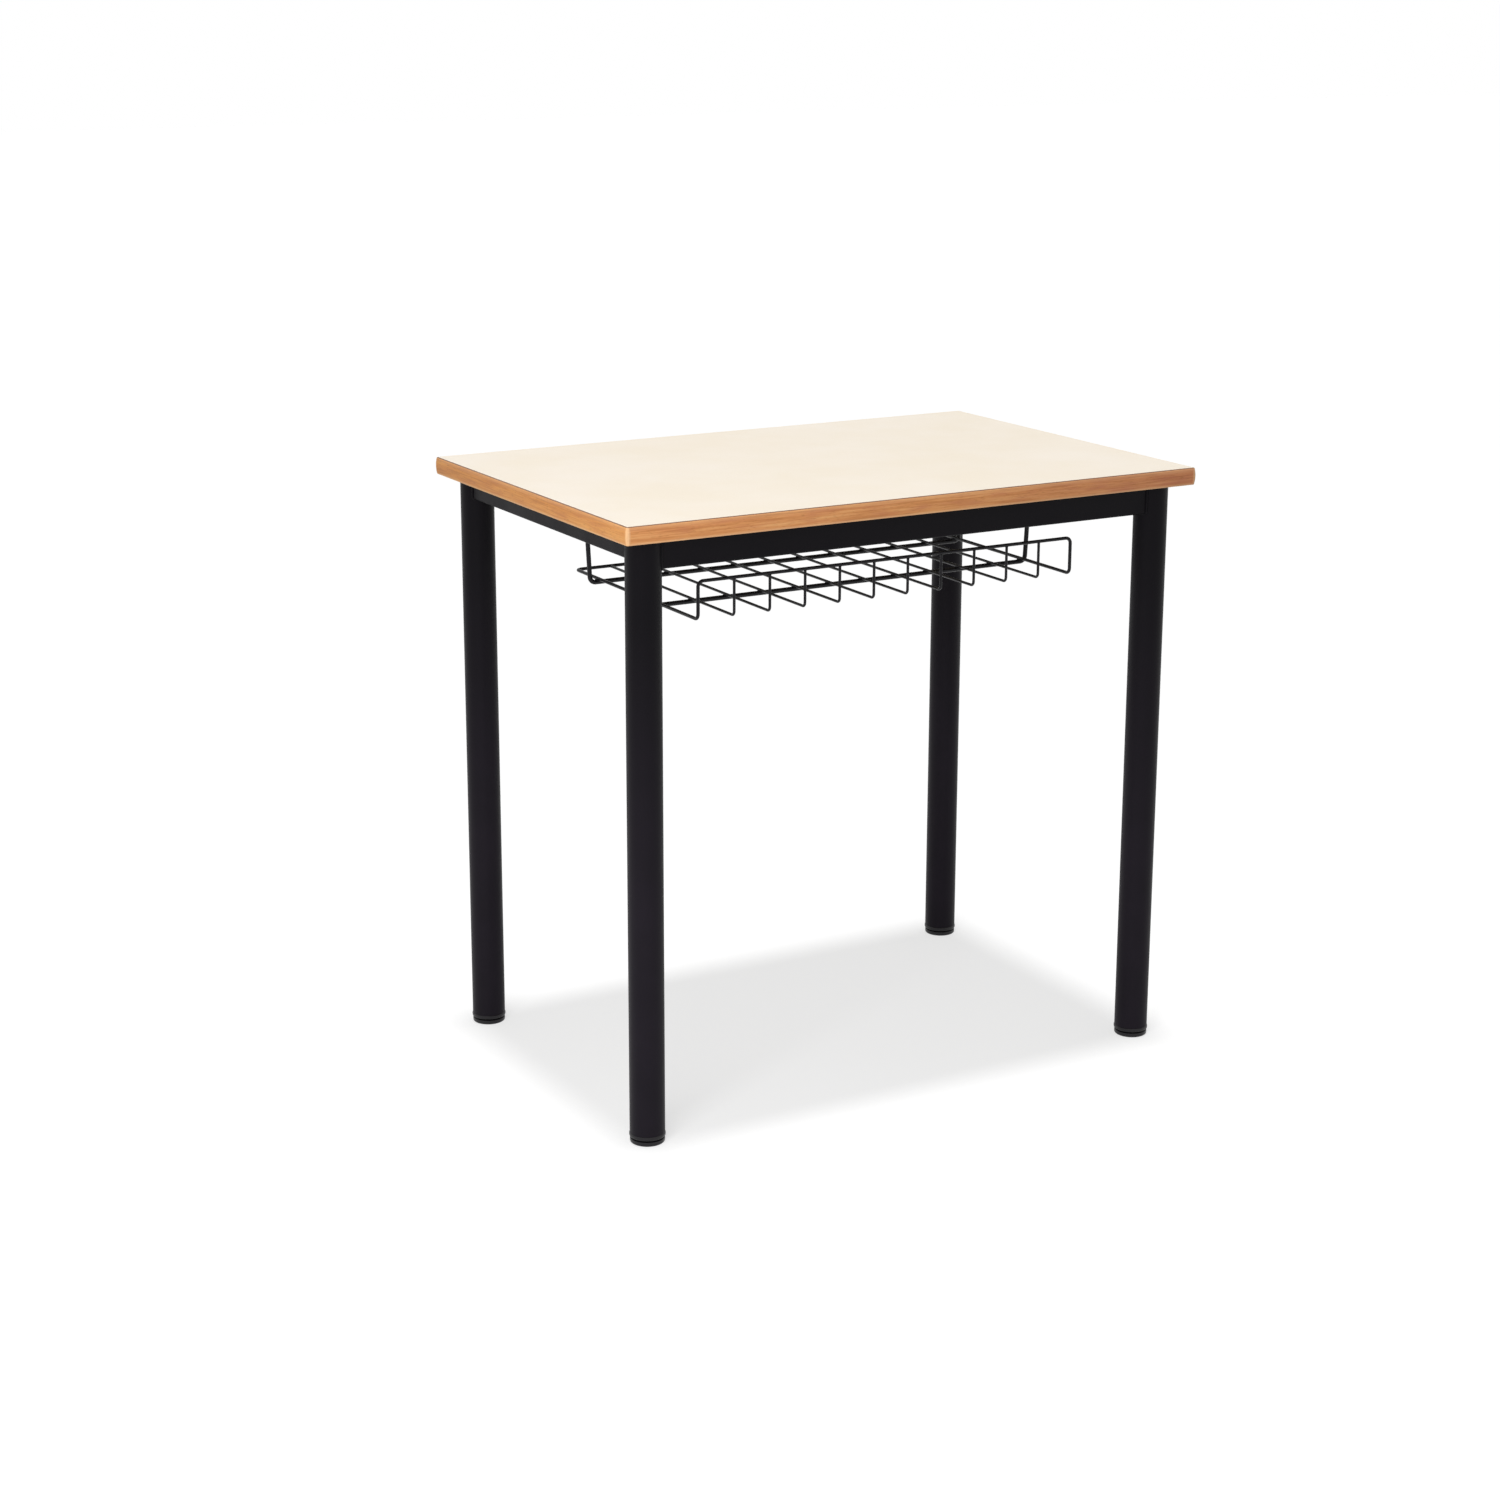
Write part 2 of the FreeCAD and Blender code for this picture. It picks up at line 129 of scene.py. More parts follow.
colour = addNode(tree, "Mix", {
    **colourMix, "A": laminatePlan["face"], "B": laminatePlan["warm"],
}, {"Factor": warmth})
speckles = addNode(tree, "MapRange", laminatePlan["speckles"], {"Value": pressed})
colour = addNode(tree, "Mix", {**colourMix, "B": laminatePlan["speckle"]}, {"Factor": speckles, "A": colour})
facing = addNode(tree, "SeparateXYZ", links={"Vector": addNode(tree, "NewGeometry").outputs["True Normal"]})
isEdge = addNode(tree, "Math", {
    "operation": "LESS_THAN", 1: laminatePlan["flatFrom"],
}, {0: facing.outputs["Z"]})
colour = addNode(tree, "Mix", {**colourMix, "B": laminatePlan["edge"]}, {"Factor": isEdge, "A": colour})
closeMaterial(tree, laminatePlan, colour, cloud, pressed)
paint(creamLaminate, ["top_laminate"])

# Lacquered beech: warm orange-brown streaks along each strip, short dark flecks, paler at its arrises and
# corners (rubbed wear and painted highlight)
beechPlan = {
    "pale": "#DFA56D", "middle": "#D3925C", "deep": "#BB7B4A", "blush": "#C17C57", "fleck": "#8A5730",
    # the paler colour at the arrises and corners is partly rubbed wear, partly painted highlight
    "wearAndHighlight": "#E8BE90", "paintedShadeTint": "#F4EDFF", "shortTint": "#FFFADA",
    "figure": {  # length along the strip, width across it and detail of each noise
        "streak": (55 * mm, 1.5 * mm, 4.0),
        "band": (170 * mm, 9 * mm, 3.0),
        "patch": (45 * mm, 6 * mm, 3.0),
        "flecks": (7 * mm, 0.6 * mm, 0.0),
    },
    "streakShare": 0.6, "bandShare": 0.4,
    "stops": ((0.36, "deep"), (0.5, "middle"), (0.64, "pale")),
    "blushes": {"From Min": 0.48, "From Max": 0.70, "To Max": 0.6},
    # painted shade along the long strips, with the tint given above: none at the left, full at the right end
    "paintedShadeRamp": {"From Min": 50 * mm, "From Max": 330 * mm},
    "flecks": {"From Min": 0.66, "From Max": 0.80, "To Max": 0.38},
    "wearAndHighlightRamps": {  # where each paler band starts and where it is full, from its edge, and how strong it is there: rubbed wear and painted highlight
        "endX": (-4.5 * mm, -2 * mm, 1.0),
        "endY": (-4.5 * mm, -2 * mm, 0.75),
        "lower": (3 * mm, 0.6 * mm, 0.6),
        "upper": (-5 * mm, -0.5 * mm, 0.25),
    },
    "glueLine": {"From Min": 0.15 * mm, "From Max": 0.35 * mm, "To Min": 0.2, "To Max": 0.0},
    "shader": {"Specular IOR Level": 0.15},
    "roughness": {**noiseSpan, "To Min": 0.36, "To Max": 0.48},
    "relief": {"Strength": 0.3, "Distance": 0.12 * mm},
}
lippingLow, lippingHigh = boxOf("lipping_front")


def lacqueredBeech(name, alongX):
    material, tree = newMaterial(name)
    place = addNode(tree, "TexCoord").outputs["Object"]
    figure = {}
    for key, (along, across, detail) in beechPlan["figure"].items():
        sizes = (along, across, across) if alongX else (across, along, across)
        stretch = addNode(tree, "Mapping", {"Scale": [1 / size for size in sizes]}, {"Vector": place})
        settings = {**softNoise, "Detail": detail, "Scale": 1.0}
        figure[key] = addNode(tree, "TexNoise", settings, {"Vector": stretch})
    streaks = addNode(tree, "Math", {
        "operation": "MULTIPLY", 1: beechPlan["streakShare"],
    }, {0: figure["streak"]})
    blend = addNode(tree, "Math", {
        "operation": "MULTIPLY_ADD", 1: beechPlan["bandShare"],
    }, {0: figure["band"], 2: streaks})
    tones = addNode(tree, "ValToRGB", links={"Fac": blend})
    stops = tones.color_ramp.elements
    stops.new(0.5)
    for stop, (position, tone) in zip(stops, beechPlan["stops"]):
        stop.position = position
        stop.color = hexColour(beechPlan[tone])
    blushes = addNode(tree, "MapRange", beechPlan["blushes"], {"Value": figure["patch"]})
    colour = addNode(tree, "Mix", {**colourMix, "B": beechPlan["blush"]}, {"Factor": blushes, "A": tones})
    if alongX:
        # painted shade: the long strips turn a little darker and greyer towards their right end, where less
        # light reaches them
        rightward = addNode(tree, "SeparateXYZ", links={"Vector": place}).outputs["X"]
        paintedShadeRamp = addNode(tree, "MapRange", beechPlan["paintedShadeRamp"], {"Value": rightward})
        colour = addNode(tree, "Mix", {**colourTint, "B": beechPlan["paintedShadeTint"]}, {
            "Factor": paintedShadeRamp, "A": colour,
        })
    else:
        colour = addNode(tree, "Mix", {**colourTint, "B": beechPlan["shortTint"]}, {"A": colour})
    flecks = addNode(tree, "MapRange", beechPlan["flecks"], {"Value": figure["flecks"]})
    colour = addNode(tree, "Mix", {**colourMix, "B": beechPlan["fleck"]}, {"Factor": flecks, "A": colour})
    # paler at the four corners and along both arrises: partly rubbed wear, partly a painted highlight
    outward = addNode(tree, "VectorMath", {"operation": "ABSOLUTE"}, {0: place})
    reach = addNode(tree, "SeparateXYZ", links={"Vector": outward}).outputs
    edges = {
        "endX": (reach["X"], lippingHigh.x),
        "endY": (reach["Y"], -lippingLow.y),
        "lower": (reach["Z"], lippingLow.z),
        "upper": (reach["Z"], lippingHigh.z),
    }
    wearAndHighlightRamps = {}
    for key, (start, full, strength) in beechPlan["wearAndHighlightRamps"].items():
        measured, edge = edges[key]
        settings = {"From Min": edge + start, "From Max": edge + full, "To Max": strength}
        wearAndHighlightRamps[key] = addNode(tree, "MapRange", settings, {"Value": measured})
    nearCorner = addNode(tree, "Math", {"operation": "MULTIPLY"}, {0: wearAndHighlightRamps["endX"], 1: wearAndHighlightRamps["endY"]})
    nearArris = addNode(tree, "Math", {"operation": "MAXIMUM"}, {0: wearAndHighlightRamps["lower"], 1: wearAndHighlightRamps["upper"]})
    wearAndHighlight = addNode(tree, "Math", {"operation": "MAXIMUM"}, {0: nearCorner, 1: nearArris})
    colour = addNode(tree, "Mix", {**colourMix, "B": beechPlan["wearAndHighlight"]}, {"Factor": wearAndHighlight, "A": colour})
    # the glue line of the mitre
    mitre = lippingHigh.x + lippingLow.y
    skew = addNode(tree, "Math", {"operation": "SUBTRACT"}, {0: reach["X"], 1: reach["Y"]})
    offMitre = addNode(tree, "Math", {"operation": "SUBTRACT", 1: mitre}, {0: skew})
    offMitre = addNode(tree, "Math", {"operation": "ABSOLUTE"}, {0: offMitre})
    glueLine = addNode(tree, "MapRange", beechPlan["glueLine"], {"Value": offMitre})
    colour = addNode(tree, "Mix", {**colourMix, "B": beechPlan["fleck"]}, {"Factor": glueLine, "A": colour})
    closeMaterial(tree, beechPlan, colour, figure["streak"], figure["streak"])
    return material


paint(lacqueredBeech("lacquered_beech_long", True), ["lipping_front", "lipping_rear"])
paint(lacqueredBeech("lacquered_beech_short", False), ["lipping_left", "lipping_right"])

# Black powder coat: deep black with a soft sheen and a slight orange peel, paler down the legs with some dust
# and painted light
coatPlan = {
    "black": "#0B090D", "dusty": "#1D1920",
    "peel": 1.8 * mm,  # drawn a little coarser than real
    "patch": 60 * mm,
    "dustAndPaintedLight": {"From Min": 600 * mm, "From Max": 250 * mm},  # painted shade and clean above, under the top; dust and painted bounce light below
    "uneven": {"From Min": 0.35, "From Max": 0.6, "To Min": 0.75},
    "shader": {"Specular IOR Level": 0.09},
    "roughness": {**noiseSpan, "To Min": 0.40, "To Max": 0.50},
    "relief": {"Strength": 0.35, "Distance": 0.12 * mm},
}
blackPowderCoat, tree = newMaterial("black_powder_coat")
place = addNode(tree, "TexCoord").outputs["Object"]
peel = addNode(tree, "TexNoise", {
    **softNoise, "Detail": 1.0, "Scale": 1 / coatPlan["peel"],
}, {"Vector": place})
patch = addNode(tree, "TexNoise", {**softNoise, "Scale": 1 / coatPlan["patch"]}, {"Vector": place})
height = addNode(tree, "SeparateXYZ", links={"Vector": place}).outputs["Z"]
# paler down the legs: painted shade under the top, painted light from the floor below, and some dust
dustAndPaintedLight = addNode(tree, "MapRange", coatPlan["dustAndPaintedLight"], {"Value": height})
uneven = addNode(tree, "MapRange", coatPlan["uneven"], {"Value": patch})
dust = addNode(tree, "Math", {"operation": "MULTIPLY"}, {0: dustAndPaintedLight, 1: uneven})
colour = addNode(tree, "Mix", {
    **colourMix, "A": coatPlan["black"], "B": coatPlan["dusty"],
}, {"Factor": dust})
closeMaterial(tree, coatPlan, colour, patch, peel)
paint(blackPowderCoat, [name for name in nodes if name.split("_")[0] in ("leg", "long", "short")])

# Black coated wire: the same black, smoother and glossier, so that each wire carries a thin light line
wirePlan = {
    "black": "#0D0C0F", "dusty": "#17151A", "ripple": 4 * mm,
    "dust": {"From Min": 0.45, "From Max": 0.7},
    "shader": {"Specular IOR Level": 0.22},
    "roughness": {**noiseSpan, "To Min": 0.26, "To Max": 0.36},
    "relief": {"Strength": 0.3, "Distance": 0.15 * mm},
}
blackCoatedWire, tree = newMaterial("black_coated_wire")
place = addNode(tree, "TexCoord").outputs["Object"]
ripple = addNode(tree, "TexNoise", {
    **softNoise, "Detail": 2.0, "Scale": 1 / wirePlan["ripple"],
}, {"Vector": place})
dust = addNode(tree, "MapRange", wirePlan["dust"], {"Value": ripple})
colour = addNode(tree, "Mix", {
    **colourMix, "A": wirePlan["black"], "B": wirePlan["dusty"],
}, {"Factor": dust})
closeMaterial(tree, wirePlan, colour, ripple, ripple)
wireNodes = [name for name in nodes if name.split("_")[0] in ("hanger", "cross")]
wireNodes += ["basket_rim"] + [f"basket_plate_{end}_{side}" for end, side in corners]
paint(blackCoatedWire, wireNodes)

# Black moulded plastic: smooth satin feet with faint flow marks; the glides' stems are threaded steel
footPlan = {
    "black": "#141216", "worn": "#201E22", "steel": "#B4B3AD",
    "flow": (9 * mm, 9 * mm, 2.5 * mm),
    "scuffed": {"From Min": 3 * mm, "From Max": 0.0},  # height over the floor
    "uneven": {"From Min": 0.4, "From Max": 0.6},
    "stem": 5.4 * mm, "padTop": 5.6 * mm, "pitch": 1.5 * mm,
    "thread": {"Strength": 1.0, "Distance": 0.8 * mm},
    "shader": {"Specular IOR Level": 0.32},
    "roughness": {**noiseSpan, "To Min": 0.30, "To Max": 0.42},
    "relief": {"Strength": 0.2, "Distance": 0.1 * mm},
}
rearLegLow, rearLegHigh = boxOf("leg_rear_right")


def mouldedFoot(name, hasStem):
    material, tree = newMaterial(name)
    place = addNode(tree, "TexCoord").outputs["Object"]
    stretch = addNode(tree, "Mapping", {"Scale": [1 / size for size in footPlan["flow"]]}, {"Vector": place})
    flow = addNode(tree, "TexNoise", {**softNoise, "Scale": 1.0}, {"Vector": stretch})
    height = addNode(tree, "SeparateXYZ", links={"Vector": place}).outputs["Z"]
    scuffed = addNode(tree, "MapRange", footPlan["scuffed"], {"Value": height})
    uneven = addNode(tree, "MapRange", footPlan["uneven"], {"Value": flow})
    worn = addNode(tree, "Math", {"operation": "MULTIPLY"}, {0: scuffed, 1: uneven})
    links = {
        "Base Color": addNode(tree, "Mix", {
            **colourMix, "A": footPlan["black"], "B": footPlan["worn"],
        }, {"Factor": worn}),
        "Roughness": addNode(tree, "MapRange", footPlan["roughness"], {"Value": flow}),
        "Normal": addNode(tree, "Bump", footPlan["relief"], {"Height": flow}),
    }
    if hasStem:
        # steel within the stem's radius of the leg's axis and above the pad, ridged at the thread's pitch
        legAxis = (rearLegLow + rearLegHigh) / 2
        outward = addNode(tree, "VectorMath", {"operation": "ABSOLUTE"}, {0: place})
        fromAxis = addNode(tree, "VectorMath", {
            "operation": "MULTIPLY_ADD", 1: (1, 1, 0), 2: (-legAxis.x, -legAxis.y, 0),
        }, {0: outward})
        reach = addNode(tree, "VectorMath", {"operation": "LENGTH"}, {0: fromAxis})
        within = addNode(tree, "Math", {"operation": "LESS_THAN", 1: footPlan["stem"]}, {0: reach})
        above = addNode(tree, "Math", {"operation": "GREATER_THAN", 1: footPlan["padTop"]}, {0: height})
        isStem = addNode(tree, "Math", {"operation": "MULTIPLY"}, {0: within, 1: above})
        halfPitch = footPlan["pitch"] / 2
        turns = addNode(tree, "Math", {"operation": "PINGPONG", 1: halfPitch}, {0: height})
        crest = addNode(tree, "MapRange", {"From Min": 0.0, "From Max": halfPitch}, {"Value": turns})
        thread = addNode(tree, "Math", {"operation": "MULTIPLY"}, {0: crest, 1: isStem})
        links["Base Color"] = addNode(tree, "Mix", {**colourMix, "B": footPlan["steel"]}, {
            "Factor": isStem, "A": links["Base Color"],
        })
        links["Metallic"] = isStem
        links["Normal"] = addNode(tree, "Bump", footPlan["thread"], {
            "Height": thread, "Normal": links["Normal"],
        })
    surface = addNode(tree, "BsdfPrincipled", footPlan["shader"], links)
    addNode(tree, "OutputMaterial", links={"Surface": surface})
    return material


paint(mouldedFoot("black_moulded_plastic", False), [f"foot_insert_{end}_{side}" for end, side in corners])
paint(mouldedFoot("black_moulded_glide", True), [f"glide_{end}_{side}" for end, side in corners])

# Zinc-plated steel: cool grey metal with a faint yellow bloom
zincPlan = {
    "grey": "#B7B8B6", "bloom": "#A9A493", "patch": 3 * mm, "brush": (3 * mm, 0.6 * mm, 3 * mm),
    "shader": {"Metallic": 1.0},
    "roughness": {**noiseSpan, "To Min": 0.28, "To Max": 0.42},
    "relief": {"Strength": 0.2, "Distance": 0.05 * mm},
}
zincPlatedSteel, tree = newMaterial("zinc_plated_steel")
place = addNode(tree, "TexCoord").outputs["Object"]
bloom = addNode(tree, "TexNoise", {**softNoise, "Scale": 1 / zincPlan["patch"]}, {"Vector": place})
stretch = addNode(tree, "Mapping", {"Scale": [1 / size for size in zincPlan["brush"]]}, {"Vector": place})
brush = addNode(tree, "TexNoise", {**softNoise, "Scale": 1.0}, {"Vector": stretch})
colour = addNode(tree, "Mix", {
    **colourMix, "A": zincPlan["grey"], "B": zincPlan["bloom"],
}, {"Factor": bloom})
closeMaterial(tree, zincPlan, colour, brush, brush)
paint(zincPlatedSteel, ["top_screws", "basket_screws"])

# Backing laminate: a dull beige sheet under the top, with the faint fibre of its paper
backingPlan = {
    "sheet": "#CBBFA8", "fibre": "#B9AB91", "fibreSize": (14 * mm, 1.6 * mm, 1.6 * mm),
    "shade": {"From Min": 0.35, "From Max": 0.7},
    "shader": {"Specular IOR Level": 0.3},
    "roughness": {**noiseSpan, "To Min": 0.55, "To Max": 0.68},
    "relief": {"Strength": 0.25, "Distance": 0.1 * mm},
}
backingLaminate, tree = newMaterial("backing_laminate")
place = addNode(tree, "TexCoord").outputs["Object"]
stretch = addNode(tree, "Mapping", {
    "Scale": [1 / size for size in backingPlan["fibreSize"]],
}, {"Vector": place})
fibre = addNode(tree, "TexNoise", {**softNoise, "Detail": 4.0, "Scale": 1.0}, {"Vector": stretch})
shade = addNode(tree, "MapRange", backingPlan["shade"], {"Value": fibre})
colour = addNode(tree, "Mix", {
    **colourMix, "A": backingPlan["sheet"], "B": backingPlan["fibre"],
}, {"Factor": shade})
closeMaterial(tree, backingPlan, colour, fibre, fibre)
paint(backingLaminate, ["backing_sheet"])

# Particle board: pressed chips of mixed browns, rough all over, seen only in the screw holes
boardPlan = {
    "stops": ((0.0, "#8E6B43"), (0.5, "#B58F61"), (1.0, "#D2B388")), "chip": 4 * mm,
    "shader": {"Specular IOR Level": 0.2, "Roughness": 0.85},
    "relief": {"Strength": 0.4, "Distance": 0.3 * mm},
}
particleBoard, tree = newMaterial("particle_board")
place = addNode(tree, "TexCoord").outputs["Object"]
chips = addNode(tree, "TexVoronoi", {"Scale": 1 / boardPlan["chip"]}, {"Vector": place}).outputs
chipTone = addNode(tree, "SeparateXYZ", links={"Vector": chips["Color"]})
browns = addNode(tree, "ValToRGB", links={"Fac": chipTone})
browns.color_ramp.elements.new(0.5)
for stop, (position, tone) in zip(browns.color_ramp.elements, boardPlan["stops"]):
    stop.position = position
    stop.color = hexColour(tone)
surface = addNode(tree, "BsdfPrincipled", boardPlan["shader"], {
    "Base Color": browns,
    "Normal": addNode(tree, "Bump", boardPlan["relief"], {"Height": chips["Distance"]}),
})
addNode(tree, "OutputMaterial", links={"Surface": surface})
paint(particleBoard, ["top_core"])


def finishPiece(name, mesh, material, body):
    bmesh.ops.recalc_face_normals(mesh, faces=mesh.faces)
    for face in mesh.faces:
        face.smooth = True
    data = bpy.data.meshes.new(name)
    mesh.to_mesh(data)
    mesh.free()
    piece = bpy.data.objects.new(name, data)
    bpy.context.scene.collection.objects.link(piece)
    data.materials.append(material)
    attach(piece, body)
    print(name, "built:", len(data.polygons), "faces")


# Weld beads where each rail meets a leg: down one side, round the lower face and up the other side
beadPlan = {
    "radius": 1.9 * mm, "sides": 8, "ripple": 1.5 * mm, "ringsPerRipple": 3,
    "swell": 0.1, "crest": 1.0, "trough": -0.5, "uneven": 0.5, "endShare": 0.6,
    "legRadius": 20 * mm, "railCorner": 2.5 * mm, "cornerTurns": (0.5, 1.07), "topGap": 1.2 * mm,
}
random.seed(11)


def weldBead(spots):
    # a ring drawn along the seam, wider at the crest of each ripple and narrow at both ends
    bead = bmesh.new()
    turn = (spots[1] - spots[0]).to_track_quat("Z", "Y")
    last = len(spots) - 1
    for number, spot in enumerate(spots):
        heading = spots[min(number + 1, last)] - spots[max(number - 1, 0)]
        turn = (turn @ Vector((0, 0, 1))).rotation_difference(heading) @ turn
        ripple = beadPlan["trough" if number % beadPlan["ringsPerRipple"] else "crest"]
        ripple += random.uniform(-beadPlan["uneven"], beadPlan["uneven"])
        radius = beadPlan["radius"] * (1 + beadPlan["swell"] * ripple)
        if number in (0, last):
            radius *= beadPlan["endShare"]
        place = Matrix.LocRotScale(spot, turn, Vector.Fill(3, radius))
        if number == 0:
            bmesh.ops.create_circle(bead, cap_ends=True, segments=beadPlan["sides"], radius=1.0, matrix=place)
            rim = bead.edges[:]
        else:
            grown = bmesh.ops.extrude_edge_only(bead, edges=rim)["geom"]
            moved = [item for item in grown if isinstance(item, bmesh.types.BMVert)]
            bmesh.ops.transform(bead, matrix=place @ before.inverted(), verts=moved)
            rim = [item for item in grown if isinstance(item, bmesh.types.BMEdge) and item.is_boundary]
        before = place
    bmesh.ops.holes_fill(bead, edges=rim, sides=beadPlan["sides"])
    return bead


def seamSpots(legAxis, heading, half, railLow, railHigh):
    # the line where a rail's tube meets the round leg, at an even spacing
    rounding = beadPlan["railCorner"]
    downOneSide = [(half, railHigh - beadPlan["topGap"]), (half, railLow + rounding)]
    for angle in beadPlan["cornerTurns"]:
        across = half - rounding * (1 - math.cos(angle))
        downOneSide.append((across, railLow + rounding * (1 - math.sin(angle))))
    path = downOneSide + [(half - rounding, railLow), (rounding - half, railLow)]
    path += [(-across, height) for across, height in reversed(downOneSide)]
    sideways = Vector((-heading.y, heading.x, 0))
    spacing = beadPlan["ripple"] / beadPlan["ringsPerRipple"]
    spots = []
    for (acrossA, heightA), (acrossB, heightB) in zip(path, path[1:]):
        count = max(1, round(math.hypot(acrossB - acrossA, heightB - heightA) / spacing))
        for number in range(count):
            across = acrossA + (acrossB - acrossA) * number / count
            height = heightA + (heightB - heightA) * number / count
            along = math.sqrt(beadPlan["legRadius"] ** 2 - across ** 2)
            spots.append(Vector((legAxis.x, legAxis.y, height)) + heading * along + sideways * across)
    return spots


beads = bmesh.new()
beadData = bpy.data.meshes.new("bead")
for end, side in corners:
    legLow, legHigh = boxOf(f"leg_{end}_{side}")
    runs = (
        (f"long_rail_{end}", Vector((1 if side == "left" else -1, 0, 0))),
        (f"short_rail_{side}", Vector((0, 1 if end == "front" else -1, 0))),
    )
    for railName, heading in runs:
        railLow, railHigh = boxOf(railName)
        half = (railHigh - railLow).dot(Vector((abs(heading.y), abs(heading.x), 0))) / 2
        bead = weldBead(seamSpots((legLow + legHigh) / 2, heading, half, railLow.z, railHigh.z))
        bead.to_mesh(beadData)
        bead.free()
        beads.from_mesh(beadData)
bpy.data.meshes.remove(beadData)
finishPiece("frame_welds", beads, blackPowderCoat, "desk")

# Weld nubs of the basket: wires on hangers, wires on the rim, hangers on the rim and on the fixing plates
nubPlan = {
    "onHanger": (1.9 * mm, 1.9 * mm, 1.1 * mm),
    "onRim": 1.0 * mm, "overWire": 1.15,
    "hangerOnRim": (2.6 * mm, 2.6 * mm, 1.2 * mm), "rimRadius": 2 * mm,
    "onPlate": (3.9 * mm, 3.9 * mm, 1.5 * mm),
    "segments": 10, "plateSegments": 12,
}


def addNub(mesh, place, radii, segments=nubPlan["segments"]):
    scale = Matrix.Diagonal((*radii, 1.0))
    bmesh.ops.create_uvsphere(mesh, u_segments=segments, v_segments=segments // 2 + 1, radius=1.0,
                              matrix=Matrix.Translation(place) @ scale)


nubs = bmesh.new()
rimLow, rimHigh = boxOf("basket_rim")
hangerBoxes = [boxOf(f"hanger_wire_{end}") for end in ("front", "rear")]
# the middle line of each hanger and the top of its run under the tray
hangerLines = [((low.y + high.y) / 2, low.z + high.y - low.y) for low, high in hangerBoxes]
for name in crossWires:
    low, high = boxOf(name)
    x = (low.x + high.x) / 2
    wire = (high.x - low.x) / 2
    for hangerY, hangerTop in hangerLines:
        addNub(nubs, (x, hangerY, hangerTop), nubPlan["onHanger"])
    wide = wire * nubPlan["overWire"]
    addNub(nubs, (x, low.y + wire, high.z), (wide, wide, nubPlan["onRim"]))
    addNub(nubs, (x, high.y, low.z + wire), (wide, nubPlan["onRim"], wide))
for hangerY, hangerTop in hangerLines:
    for rimX in (rimLow.x + nubPlan["rimRadius"], rimHigh.x - nubPlan["rimRadius"]):
        addNub(nubs, (rimX, hangerY, hangerTop), nubPlan["hangerOnRim"])
for end, side in corners:
    low, high = boxOf(f"basket_plate_{end}_{side}")
    under = ((low.x + high.x) / 2, (low.y + high.y) / 2, low.z)
    addNub(nubs, under, nubPlan["onPlate"], nubPlan["plateSegments"])
finishPiece("basket_welds", nubs, blackCoatedWire, "desk")

# Floor: white from above and in reflections, with the object's shadow kept on it, and clear from below
floorPlan = {"half": 20.0, "glow": 0.64, "catch": 0.41, "bounce": 0.45}
floorMesh = bmesh.new()
bmesh.ops.create_grid(floorMesh, x_segments=1, y_segments=1, size=floorPlan["half"])
floorData = bpy.data.meshes.new("floor")
floorMesh.to_mesh(floorData)
floorMesh.free()
floor = bpy.data.objects.new("floor", floorData)
bpy.context.scene.collection.objects.link(floor)


def seenRays(tree):
    rays = addNode(tree, "LightPath").outputs
    seen = addNode(tree, "Math", {"operation": "MAXIMUM"}, {
        0: rays["Is Camera Ray"], 1: rays["Is Glossy Ray"],
    })
    return addNode(tree, "Math", {"operation": "MAXIMUM"}, {0: seen, 1: rays["Is Transmission Ray"]})


paleFloor, tree = newMaterial("pale_floor")
glow = addNode(tree, "Emission", {"Color": "#FFFFFF", "Strength": floorPlan["glow"]})
catch = addNode(tree, "BsdfDiffuse", {"Color": (floorPlan["catch"],) * 3 + (1,)})
shown = addNode(tree, "AddShader", links={0: glow, 1: catch})
bounce = addNode(tree, "BsdfDiffuse", {"Color": (floorPlan["bounce"],) * 3 + (1,)})
upperSide = addNode(tree, "MixShader", links={0: seenRays(tree), 1: bounce, 2: shown})
isUnder = addNode(tree, "NewGeometry").outputs["Backfacing"]
clear = addNode(tree, "BsdfTransparent")
bothSides = addNode(tree, "MixShader", links={0: isUnder, 1: upperSide, 2: clear})
addNode(tree, "OutputMaterial", links={"Surface": bothSides})
floor.data.materials.append(paleFloor)

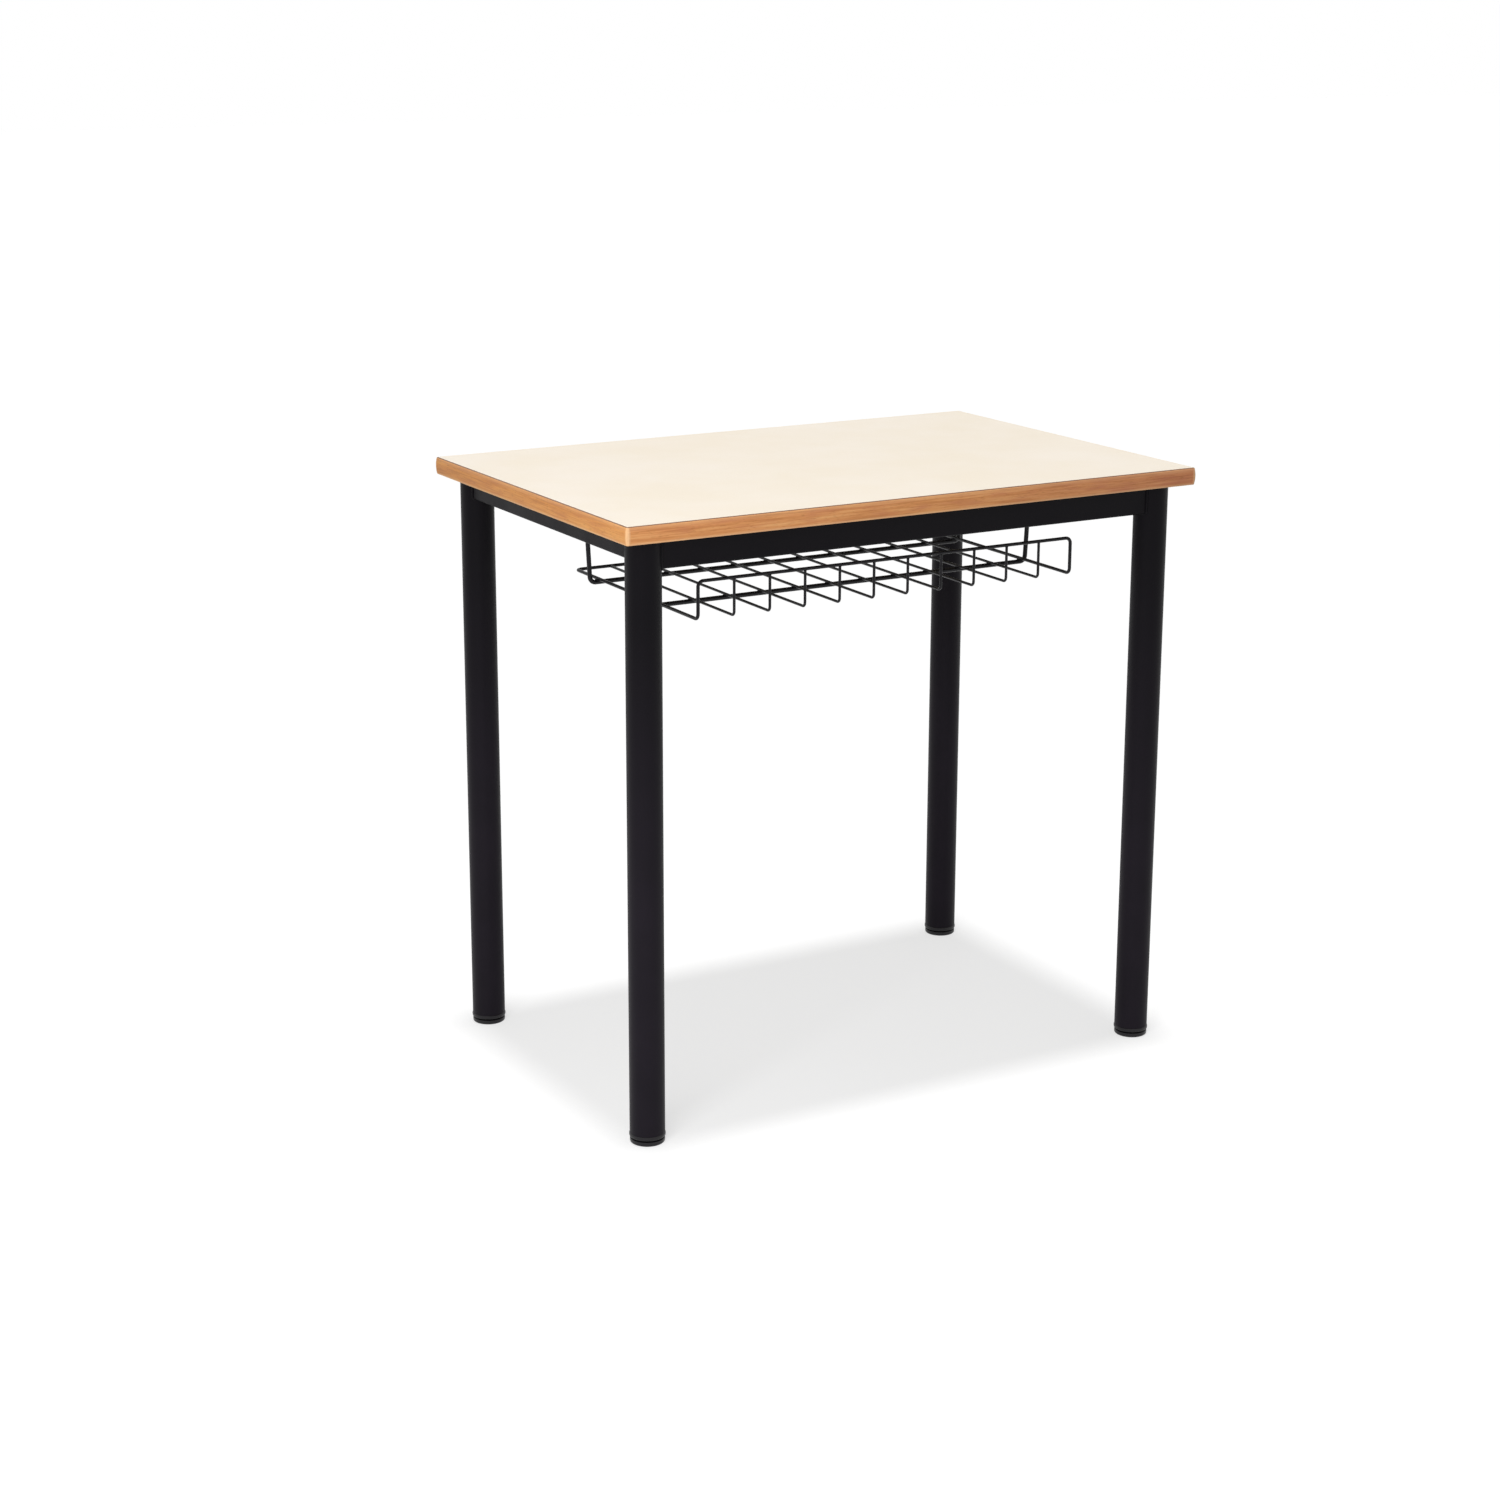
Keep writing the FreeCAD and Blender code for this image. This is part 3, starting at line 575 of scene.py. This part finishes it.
# Light: white surroundings, soft daylight from straight overhead and a soft box at the front left
lightPlan = {
    "world": 0.25, "daylight": 2.05, "spread": 0.12,
    "box": 28.5, "boxSize": 1.0, "boxPlace": (-1.55, -1.41, 0.98), "boxAim": (0, 0, 0.6),
}
world = bpy.data.worlds.new("studio")
bpy.context.scene.world = world
world.use_nodes = True
tree = world.node_tree
tree.nodes.clear()
dim = addNode(tree, "Background", {"Color": "#FFFFFF", "Strength": lightPlan["world"]})
white = addNode(tree, "Background", {"Color": "#FFFFFF", "Strength": 1.0})
around = addNode(tree, "MixShader", links={0: seenRays(tree), 1: dim, 2: white})
addNode(tree, "OutputWorld", links={"Surface": around})

daylight = bpy.data.lights.new("daylight", "SUN")
daylight.energy = lightPlan["daylight"]
daylight.angle = lightPlan["spread"]
bpy.context.scene.collection.objects.link(bpy.data.objects.new("daylight", daylight))
softBox = bpy.data.lights.new("soft_box", "AREA")
softBox.energy = lightPlan["box"]
softBox.size = lightPlan["boxSize"]
boxHolder = bpy.data.objects.new("soft_box", softBox)
boxHolder.location = lightPlan["boxPlace"]
aim = Vector(lightPlan["boxAim"]) - boxHolder.location
boxHolder.rotation_euler = aim.to_track_quat("-Z", "Y").to_euler()
boxHolder.visible_camera = False
boxHolder.visible_glossy = False  # no glare on the top from low views
bpy.context.scene.collection.objects.link(boxHolder)

# Camera at the photograph's angle; the small shift keeps the desk where it stands in the frame
cameraPlan = {
    "place": (-1.6744, -2.7944, 1.2728),
    "yaw": 0.5174, "pitch": 0.2528, "roll": -0.0022,
    "focal": 2787.2, "frame": 1500, "axisRow": 690,  # pixels
    "sensor": 36, "clipEnd": 60,
}
cameraData = bpy.data.cameras.new("camera")
cameraData.sensor_width = cameraPlan["sensor"]
cameraData.lens = cameraPlan["focal"] / cameraPlan["frame"] * cameraData.sensor_width
cameraData.shift_y = (cameraPlan["axisRow"] - cameraPlan["frame"] / 2) / cameraPlan["frame"]
cameraData.clip_end = cameraPlan["clipEnd"]
camera = bpy.data.objects.new("camera", cameraData)
camera.matrix_world = (
    Matrix.Translation(cameraPlan["place"])
    @ Matrix.Rotation(-cameraPlan["yaw"], 4, "Z")
    @ Matrix.Rotation(math.pi / 2 - cameraPlan["pitch"], 4, "X")
    @ Matrix.Rotation(-cameraPlan["roll"], 4, "Z")
)
bpy.context.scene.collection.objects.link(camera)
bpy.context.scene.camera = camera
bpy.context.scene.view_settings.view_transform = "Standard"
print("floor, light and camera set")
